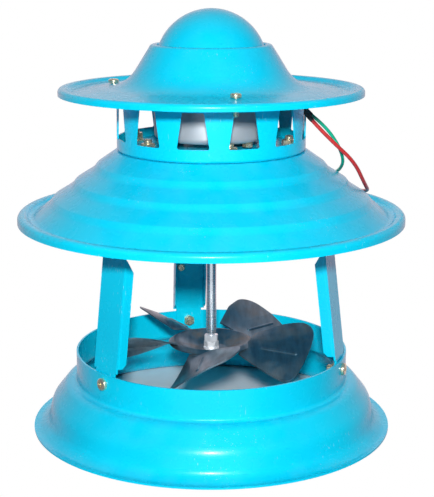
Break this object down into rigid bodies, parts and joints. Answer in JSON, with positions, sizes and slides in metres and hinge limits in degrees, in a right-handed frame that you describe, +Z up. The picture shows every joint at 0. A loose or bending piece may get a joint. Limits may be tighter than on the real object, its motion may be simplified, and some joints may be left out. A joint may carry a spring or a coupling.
{
  "type": "chimney draught fan",
  "caption": "Electric chimney-top draught fan: flared base, channel legs, stepped rain hood, louvred motor ring, domed cap and a bladed impeller on a long shaft.",
  "frame": {"origin": "centre of the base skirt in the plane it stands on", "axes": "+Z up along the fan shaft, -Y the side that is seen first"},
  "size_m": [0.3, 0.3, 0.327],
  "materials": {
    "blue_paint": "semi-gloss cyan-blue stove enamel on spun steel",
    "motor_grey": "silver-grey motor enamel",
    "bright_steel": "bright zinc-plated steel",
    "blade_steel": "plain sheet steel, dusty",
    "lamination_steel": "stacked electrical steel",
    "cast_aluminium": "die-cast",
    "copper": "enamelled copper wire",
    "bronze": "sintered bronze",
    "black_rubber": "moulded rubber",
    "red_pvc": "PVC insulation",
    "green_pvc": "PVC insulation",
    "yellow_zinc": "yellow-passivated zinc plating"
  },
  "bodies": {
    "frame": {"base_skirt": "blue_paint", "bush_lower": "bronze", "bush_upper": "bronze", "cap_crown": "blue_paint", "cap_dome": "blue_paint", "cap_nuts": "yellow_zinc", "cap_screws": "yellow_zinc", "earth_nut": "yellow_zinc", "earth_screw": "yellow_zinc", "lead_green": "green_pvc", "lead_grommet": "black_rubber", "lead_red": "red_pvc", "leg_left": "blue_paint", "leg_lower_nuts": "yellow_zinc", "leg_lower_screws": "yellow_zinc", "leg_rear": "blue_paint", "leg_right": "blue_paint", "leg_upper_nuts": "yellow_zinc", "leg_upper_screws": "yellow_zinc", "louvre_ring": "blue_paint", "motor_bolt_nuts": "yellow_zinc", "motor_bolts": "yellow_zinc", "motor_lower_shell": "motor_grey", "motor_pads": "black_rubber", "motor_plate": "blue_paint", "motor_screw_nuts": "yellow_zinc", "motor_screws": "yellow_zinc", "motor_upper_shell": "motor_grey", "neck_nuts": "yellow_zinc", "neck_screws": "yellow_zinc", "neck_washers": "yellow_zinc", "rain_hood": "blue_paint", "stator_core": "lamination_steel", "stator_windings": "copper"},
    "rotor": {"shaft": "bright_steel", "rotor_core": "lamination_steel", "rotor_end_rings": "cast_aluminium", "shaft_clips": "bright_steel", "impeller": "blade_steel", "hub_washers": "bright_steel", "hub_nut": "bright_steel", "hub_lock_nut": "bright_steel", "hub_under_nut": "bright_steel"}
  },
  "joints": [
    {"name": "fan_spin", "type": "hinge", "parent": "frame", "child": "rotor", "pos_m": [0, 0, 0.1], "axis": [0, 0, 1], "continuous": true}
  ]
}
